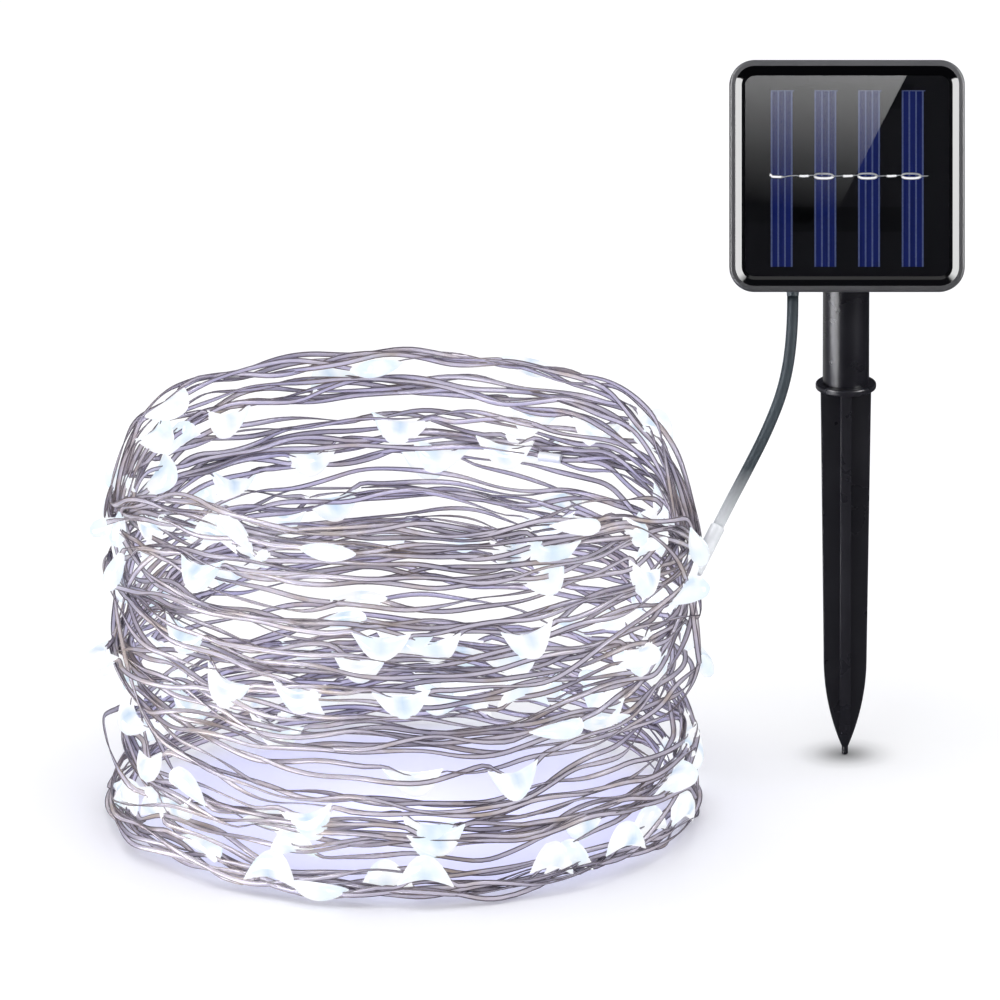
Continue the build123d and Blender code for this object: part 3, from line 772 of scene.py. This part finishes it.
def add_bead(bm, heart, middle, way, drop, dice):
    """One bead: pointed where the string comes in at both top corners, round below."""
    half = BEAD_HALF * dice.uniform(0.92, 1.06)
    deep = BEAD_DROP * dice.uniform(0.88, 1.08)
    depth = BEAD_DEPTH * dice.uniform(0.9, 1.1)
    skew = dice.uniform(-0.14, 0.14)
    lit = dice.uniform(0.3, 1.0)
    side = way.cross(drop).normalized()
    rings, hearts = [], []
    for index in range(BEAD_RINGS + 1):
        share = -1 + 2 * index / BEAD_RINGS
        share *= 1.3 - 0.3 * share * share
        top, bottom, thick = bead_profile(share)
        high, wide = top * deep - 0.25 * MM, max(depth * thick, 0.3 * MM)
        low = max(bottom * deep, high + 0.5 * MM)
        centre, tall = (high + low) / 2, (low - high) / 2
        ring = []
        for k in range(BEAD_SIDES):
            angle = 2 * pi * k / BEAD_SIDES
            down = centre + tall * cos(angle)
            along = (share + skew * (down / deep) * (1 - share * share)) * half
            ring.append(middle + way * along + drop * down + side * wide * sin(angle))
            nearness = hypot(share / 0.3, (down - 0.36 * deep) / (0.24 * deep))
            hearts.append(lit * max(0.0, 1.0 - nearness) ** 0.8)
        rings.append(ring)
    first = len(bm.verts)
    skin(bm, rings)
    bm.verts.ensure_lookup_table()
    for vertex, value in zip(bm.verts[first:], hearts):
        vertex[heart] = value


def nearest(points, place, start, window):
    """The index of the point nearest to place, looked for forward from start."""
    end = min(start + window, len(points))
    return min(range(start, end), key=lambda index: (points[index] - place).length_squared)


def build_string():
    controls, middles = string_controls()
    points = thinned(spline_points("string_line", controls, 4), 2.2 * MM)
    ways = tangents(points)
    web, *cores = string_meshes(points)
    string = add_piece("string_of_lights", web, web_material(), "bracket")
    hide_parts("light_coil")
    dark = core_material()
    strands = [
        add_piece(f"string_core_{number}", core, dark, "bracket")
        for number, core in enumerate(cores, 1)
    ]
    dice = random.Random(SEED + 4)
    groups, index = [], 0
    for first in range(0, len(middles), BEADS_PER_PIECE):
        bm = bmesh.new()
        heart = bm.verts.layers.float.new("heart")
        for middle, drop in middles[first : first + BEADS_PER_PIECE]:
            index = nearest(points, middle, index, 200)
            way = (ways[index] + ways[max(index - 1, 0)]).normalized()
            down = (drop - way * drop.dot(way)).normalized()
            add_bead(bm, heart, points[index] - down * KINK_DIP * 0.9, way, down, dice)
        name = f"light_beads_{len(groups) + 1:02d}"
        group = add_piece(name, bm, finish_of("bead_resin"), "bracket")
        groups.append(group)
    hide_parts("led_beads")
    return string


# ----------------------------------------------------------------------------------- lead


def build_lead():
    points = spline_points("lead_line", LEAD_ROUTE, 10)
    ways = tangents(points)
    sides = carried_sides(ways, ACROSS)
    bm = bmesh.new()
    rings = [
        ring_round(point, side, way.cross(side), LEAD_DIAMETER / 2, 16)
        for point, way, side in zip(points, ways, sides)
    ]
    skin(bm, rings)
    lead = add_piece("lead", bm, finish_of("lead_pvc"), None)
    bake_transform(lead)
    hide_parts("lead_cable")
    return lead


# ---------------------------------------------------------------------------- solar panel


def strip_box(bm, across, up, out, material=0):
    """A thin straight bar on the panel, from its low to its high place in each way."""
    corners = [head_point(a, u, o) for o in out for u in up for a in across]
    made = [bm.verts.new(corner) for corner in corners]
    for face in ((0, 2, 3, 1), (4, 5, 7, 6), (0, 1, 5, 4), (2, 6, 7, 3), (0, 4, 6, 2), (1, 3, 7, 5)):
        bm.faces.new([made[k] for k in face]).material_index = material


LINE_WIDTH = 0.5 * MM
LINE_LIFT = 0.06 * MM


def cell_middle(number):
    return (number - (CELL_COUNT - 1) / 2) * CELL_PITCH


def build_cell_lines():
    """The printed silver lines: four down each cell and a thin one along its top."""
    bm = bmesh.new()
    width, height = CELL_SIZE
    out = (CELL_FACE - 0.02 * MM, CELL_FACE + LINE_LIFT)
    for number in range(CELL_COUNT):
        middle = cell_middle(number)
        for line in range(4):
            centre = middle + (line / 3 - 0.5) * (width - LINE_WIDTH)
            across = (centre - LINE_WIDTH / 2, centre + LINE_WIDTH / 2)
            strip_box(bm, across, (-height / 2 - CELL_DROP, height / 2 - CELL_DROP), out)
        across = (middle - width / 2, middle + width / 2 + 0.5 * MM)
        top = height / 2 - CELL_DROP
        strip_box(bm, across, (top - 0.18 * MM, top + 0.12 * MM), out)
    paint = Paint("cell_lines", (0.12, 0.14, 0.42), 0.35, Specular_IOR_Level=0.2)
    grain = paint.noise(3000.0, 2.0)
    paint.colour(paint.ramp(grain, (0.3, (0.12, 0.17, 0.40)), (0.7, (0.21, 0.26, 0.54))))
    return add_piece("cell_lines", bm, paint.material, "head")


def build_tapes():
    """Two strips of dark tape that hold the cells, behind them on the board."""
    bm = bmesh.new()
    for middle in (23.6 * MM, -12.9 * MM):
        up = (middle - 3.7 * MM, middle + 3.7 * MM)
        strip_box(bm, (-19.8 * MM, 19.8 * MM), up, (-0.92 * MM, -0.84 * MM))
    paint = Paint("board_tape", (0.0012, 0.0012, 0.0016), 0.5)
    weave = paint.noise(1500.0, 2.0)
    paint.colour(paint.ramp(weave, (0.3, (0.0008, 0.0008, 0.0012)), (0.7, (0.0018, 0.0018, 0.0022))))
    return add_piece("board_tapes", bm, paint.material, "head")


TAB_OUT = CELL_FACE + 0.25 * MM
TAB_THIN = 0.16                      # radii of the tab's wire, in millimetres
TAB_TOP = 0.3
TAB_FULL = 0.46


def tab_runs():
    """The tinned tab's strands: a radius, and (across, up) places, in millimetres.

    The first cell has a flat foot. Each other cell has an open loop, heavier below,
    with a short heavy dash on the way to it.
    """
    dice = random.Random(SEED + 5)
    middles = [cell_middle(number) / MM for number in range(CELL_COUNT)]
    foot = middles[0] - 3.4
    runs = [
        (TAB_FULL, [(foot, 0.8), (foot + 0.2, -0.1), (foot + 1.2, -0.35), (foot + 4.4, -0.3)]),
        (TAB_THIN, [(foot + 4.2, -0.3), (foot + 6.4, 0.2), (middles[1] - 8.0, 0.05)]),
    ]
    for middle in middles[1:]:
        left, right, lift = middle - 3.4, middle + 2.7, dice.uniform(-0.12, 0.12)
        below = [(left, 0.25), (left + 0.3, -0.6), (middle - 0.4, -0.75), (right - 0.7, -0.6), (right, 0.0)]
        above = [(left, 0.25), (left + 0.6, 0.68), (middle - 0.4, 0.72), (right - 0.9, 0.6), (right, 0.0)]
        runs.append((TAB_FULL, [(across, up + lift) for across, up in below]))
        runs.append((TAB_TOP, [(across, up + lift) for across, up in above]))
        runs.append((TAB_FULL, [(middle - 8.1, 0.0), (middle - 7, -0.1), (middle - 5.6, lift), (middle - 4.6, 0.05)]))
        runs.append((TAB_THIN, [(middle - 8.8, 0.0), (middle - 6, 0.1), (left, 0.2)]))
        runs.append((TAB_THIN, [(right - 0.2, lift), (right + 0.8, -0.1), (right + 2.0, 0.0)]))
    return runs


def build_tab():
    """The tinned wire that joins the cells across their middles, looped over each."""
    bm = bmesh.new()
    for number, (radius, run) in enumerate(tab_runs()):
        places = [head_point(across * MM, up * MM, TAB_OUT) for across, up in run]
        points = spline_points(f"tab_line_{number}", places, 6)
        ways = tangents(points)
        sides = carried_sides(ways, UP)
        rings = []
        for index, (point, way, side) in enumerate(zip(points, ways, sides)):
            share = index / (len(points) - 1)
            round_end = min(1.0, 0.35 + 6 * share * (1 - share))
            rings.append(ring_round(point, side, way.cross(side), radius * round_end * MM, 8))
        skin(bm, rings)
    paint = Paint("tab_tin", (0.9, 0.9, 0.93), 0.35)
    paint.bump(paint.noise(2500.0, 2.0), 0.05 * MM, 0.5)
    patches = paint.noise(500.0, 2.0)
    paint.colour(paint.ramp(patches, (0.3, (0.84, 0.84, 0.87)), (0.5, (1.0, 1.0, 1.0))))
    tab = add_piece("cell_tab_wire", bm, paint.material, "head")
    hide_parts("cell_tab")
    return tab


def rounded_outline(width, height, corner, out, steps=8):
    """Points round a rectangle with round corners, on the panel."""
    points = []
    for quadrant, (x, y) in enumerate(((1, 1), (-1, 1), (-1, -1), (1, -1))):
        for step in range(steps + 1):
            angle = (quadrant + step / steps) * pi / 2
            across = x * (width / 2 - corner) + corner * cos(angle)
            up = y * (height / 2 - corner) + corner * sin(angle)
            points.append(head_point(across, up, out))
    return points


def build_film():
    """The clear resin's polished face, over the cells, with a softened edge."""
    width, height = (size - 2 * PANEL_INSET - 0.1 * MM for size in HEAD_SIZE[:2])
    corner = HEAD_CORNER - PANEL_INSET
    bm = bmesh.new()
    rings = []
    for inset, out in ((0, -0.2 * MM), (0, -0.02 * MM), (0.02 * MM, 0)):
        rings.append(rounded_outline(width - 2 * inset, height - 2 * inset, corner - inset, out))
    skin(bm, rings)
    film = add_piece("panel_face", bm, finish_of("clear_resin"), "head")
    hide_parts("panel_resin")
    return film


# --------------------------------------------------------------------------- studio


CAMERA_DISTANCE = 12.0
CAMERA_HEIGHT = radians(18.0)
CAMERA_AIM = Vector((-0.1033, -0.0400, 0.0930))
CAMERA_WAY = Vector((0, cos(CAMERA_HEIGHT), -sin(CAMERA_HEIGHT)))
CAMERA_WIDTH = 0.2979                # how much the picture shows at the aim, side to side


def build_camera():
    data = bpy.data.cameras.new("camera")
    data.sensor_width = 36.0
    data.lens = data.sensor_width * CAMERA_DISTANCE / CAMERA_WIDTH
    data.clip_end = 100.0
    camera = bpy.data.objects.new("camera", data)
    bpy.context.scene.collection.objects.link(camera)
    camera.location = CAMERA_AIM - CAMERA_WAY * CAMERA_DISTANCE
    camera.rotation_mode = "QUATERNION"
    camera.rotation_quaternion = CAMERA_WAY.to_track_quat("-Z", "Y")
    bpy.context.scene.camera = camera


def build_world():
    """White to look at, softly bright to light by, and dim in what is glossy."""
    world = bpy.data.worlds.new("studio")
    bpy.context.scene.world = world
    world.use_nodes = True
    tree = world.node_tree
    output, light = tree.nodes["World Output"], tree.nodes["Background"]
    light.inputs["Color"].default_value = (0.97, 0.975, 1.0, 1.0)
    light.inputs["Strength"].default_value = 1.0
    seen = tree.nodes.new("ShaderNodeBackground")
    seen.inputs["Color"].default_value = (1, 1, 1, 1)
    mirrored = tree.nodes.new("ShaderNodeBackground")
    mirrored.inputs["Color"].default_value = (0.035, 0.035, 0.045, 1)
    path = tree.nodes.new("ShaderNodeLightPath")
    glossy = tree.nodes.new("ShaderNodeMixShader")
    tree.links.new(path.outputs["Is Glossy Ray"], glossy.inputs[0])
    tree.links.new(light.outputs[0], glossy.inputs[1])
    tree.links.new(mirrored.outputs[0], glossy.inputs[2])
    camera = tree.nodes.new("ShaderNodeMixShader")
    tree.links.new(path.outputs["Is Camera Ray"], camera.inputs[0])
    tree.links.new(glossy.outputs[0], camera.inputs[1])
    tree.links.new(seen.outputs[0], camera.inputs[2])
    tree.links.new(camera.outputs[0], output.inputs["Surface"])


GLOW_REACH = 140 * MM                # the beads' cool light on the floor, from the coil's axis
SHADE_REACH = 18 * MM                # the soft shade round the spike's tip


def build_floor():
    bm = bmesh.new()
    size = 40.0
    bm.faces.new([bm.verts.new((x * size, y * size, 0)) for x, y in ((-1, -1), (1, -1), (1, 1), (-1, 1))])
    paint = Paint("studio_floor", (0.9, 0.9, 0.9), 0.9)
    paint.set("Specular IOR Level", 0.0)
    # painted light and shadow: the floor is tinted lavender round the coil as the beads' glow, and darkened round the
    # spike's tip as its shadow
    from_coil = paint.vector("SUBTRACT", paint.place(), tuple(COIL_CENTRE))
    away = paint.math("DIVIDE", paint.vector("LENGTH", from_coil, output="Value"), GLOW_REACH)
    glow = (0.0, (0.76, 0.76, 1.0)), (0.5, (0.80, 0.80, 1.0)), (0.62, (0.96, 0.96, 1.0)), (1.0, (1.0,) * 3)
    near_tip = paint.math("DIVIDE", paint.vector("LENGTH", paint.place(), output="Value"), SHADE_REACH)
    shade = (0.0, 0.28), (0.25, 0.48), (0.55, 0.8), (0.8, 0.95), (1.0, 1.0)
    painted_glow_and_shadow = paint.vector("MULTIPLY", paint.ramp(away, *glow), paint.ramp(near_tip, *shade))
    paint.colour(paint.vector("MULTIPLY", painted_glow_and_shadow, (0.9, 0.9, 0.9)))
    paint.link(painted_glow_and_shadow, paint.shader.inputs["Emission Color"])
    paint.set("Emission Strength", 0.13)
    floor = add_piece("studio_floor", bm, paint.material, None)
    floor.visible_glossy = False
    return floor


def build_card(name, corners, brightness, hidden_from=(), fade=None):
    """A bright card that shows only in glossy surfaces. fade is (start, end, stops)."""
    bm = bmesh.new()
    bm.faces.new([bm.verts.new(corner) for corner in corners])
    paint = Paint(name, (0, 0, 0), 1.0)
    glow = paint.node("ShaderNodeEmission")
    glow.inputs["Strength"].default_value = brightness
    if fade:
        start, end, stops = fade
        way = end - start
        offset = paint.vector("SUBTRACT", paint.place(), tuple(start))
        share = paint.vector("DOT_PRODUCT", offset, tuple(way / way.length_squared), "Value")
        paint.link(paint.ramp(share, *stops), glow.inputs["Color"])
    paint.link(glow.outputs[0], paint.output.inputs["Surface"])
    card = add_piece(name, bm, paint.material, None)
    card.visible_camera = False
    card.visible_diffuse = False
    card.visible_shadow = False
    card.visible_transmission = False
    paint.material.cycles.emission_sampling = "NONE"
    if hidden_from:
        shut_out = bpy.data.collections.new(name)
        for piece in hidden_from:
            shut_out.objects.link(piece)
        for linked in shut_out.collection_objects:
            linked.light_linking.link_state = "EXCLUDE"
        card.light_linking.receiver_collection = shut_out
    return card


def mirrored_place(across, up, height):
    """Where a card at this height over the panel shows at that place in the panel."""
    eye = CAMERA_AIM - CAMERA_WAY * CAMERA_DISTANCE - PANEL_MIDDLE
    foot = (eye.dot(ACROSS), eye.dot(UP))
    share = height / eye.dot(OUT)
    return head_point(across + (across - foot[0]) * share, up + (up - foot[1]) * share, height)


def build_cards(film):
    height = 0.5
    outline = [(-34, 31.5), (18.5, 31.5), (-3.0, -10.5), (-12, -14), (-34, -14)]
    corners = [mirrored_place(a * MM, u * MM, height) for a, u in outline]
    start, end = mirrored_place(0, 31.5 * MM, height), mirrored_place(-6 * MM, -11 * MM, height)
    stops = (0.0, 1.0), (0.42, 0.42), (0.65, 0.19), (0.88, 0.055), (1.0, 0.0)
    build_card("panel_reflection", corners, 3.4, fade=(start, end, stops))
    for side in (-1, 1):
        # the slope at one side of the panel mirrors what is far out on the other side
        edge = head_point(side * (HEAD_SIZE[0] / 2 - RIM - BEVEL / 2), 0, 0.75 * MM)
        away = (ACROSS * -side * 0.883 + OUT * 0.469) * 0.3
        wide = (ACROSS * 0.469 + OUT * side * 0.883) * 0.06
        low, high = edge + away - UP * 0.09, edge + away + UP * 0.34
        corners = [low - wide, low + wide, high + wide, high - wide]
        fade = edge + away + UP * 0.11, high, ((0.0, 1.0), (0.4, 0.5), (1.0, 0.0))
        build_card(f"edge_reflection_{side + 2}", corners, 17.0, [film], fade)
    middle = head_point(0, PANEL_INSET - HEAD_SIZE[1] / 2, 0) + (OUT * 0.782 + UP * 0.624) * 0.3
    wide, tall = ACROSS * 0.1, (UP * 0.782 - OUT * 0.624) * 0.02
    corners = [middle - wide - tall, middle + wide - tall, middle + wide + tall, middle - wide + tall]
    build_card("sill_reflection", corners, 0.9, [film])


def build_light(name, place, aim, size, power, colour=(1, 1, 1), **seen):
    data = bpy.data.lights.new(name, "AREA")
    data.shape = "RECTANGLE"
    data.size, data.size_y = size
    data.energy = power
    data.color = colour
    light = bpy.data.objects.new(name, data)
    bpy.context.scene.collection.objects.link(light)
    light.location = place
    light.rotation_mode = "QUATERNION"
    light.rotation_quaternion = (Vector(aim) - Vector(place)).to_track_quat("-Z", "Y")
    for name, value in seen.items():
        setattr(light, name, value)
    return light


STAKE_CARDS = ((-57, 27, 24.0), (-137, 22, 0.6))


def build_stake_cards(film):
    """Upright cards that draw the highlights down the tube and spike.

    They stand low, and past the floor, because an upright surface seen from above
    mirrors what is below it. Each is (turn from the camera's side, half turn, light).
    """
    distance = 0.4
    for number, (turn, half, light) in enumerate(STAKE_CARDS):
        feet = []
        for angle in (radians(turn - half), radians(turn + half)):
            feet.append(Vector((sin(angle), -cos(angle), 0)) * distance)
        low, high = Vector((0, 0, -0.06)), Vector((0, 0, 0.06))
        corners = [feet[0] + low, feet[1] + low, feet[1] + high, feet[0] + high]
        build_card(f"stake_reflection_{number + 1}", corners, light, [film])


def build_lights():
    over = Vector((-0.1, -0.3, 1.2))
    softbox = build_light("top_softbox", over, CAMERA_AIM, (0.5, 0.5), 2.0)
    softbox.visible_glossy = False


def build_coil_glow():
    """The cool light of the lit beads inside the coil, without its noise."""
    for level in (0.25, 0.7):
        data = bpy.data.lights.new("coil_glow", "POINT")
        data.energy = 0.05
        data.color = (0.60, 0.63, 1.0)
        data.shadow_soft_size = 0.03
        light = bpy.data.objects.new("coil_glow", data)
        bpy.context.scene.collection.objects.link(light)
        light.location = COIL_CENTRE + Vector((0, 0, COIL_HEIGHT * level))
        light.visible_camera = False


# -------------------------------------------------------------------------------- build

paint_nodes()
build_camera()
build_lead()
build_string()
build_cell_lines()
build_tapes()
build_tab()
film = build_film()
build_world()
build_floor()
build_cards(film)
build_stake_cards(film)
build_lights()
build_coil_glow()
bpy.context.scene.view_settings.view_transform = "Standard"
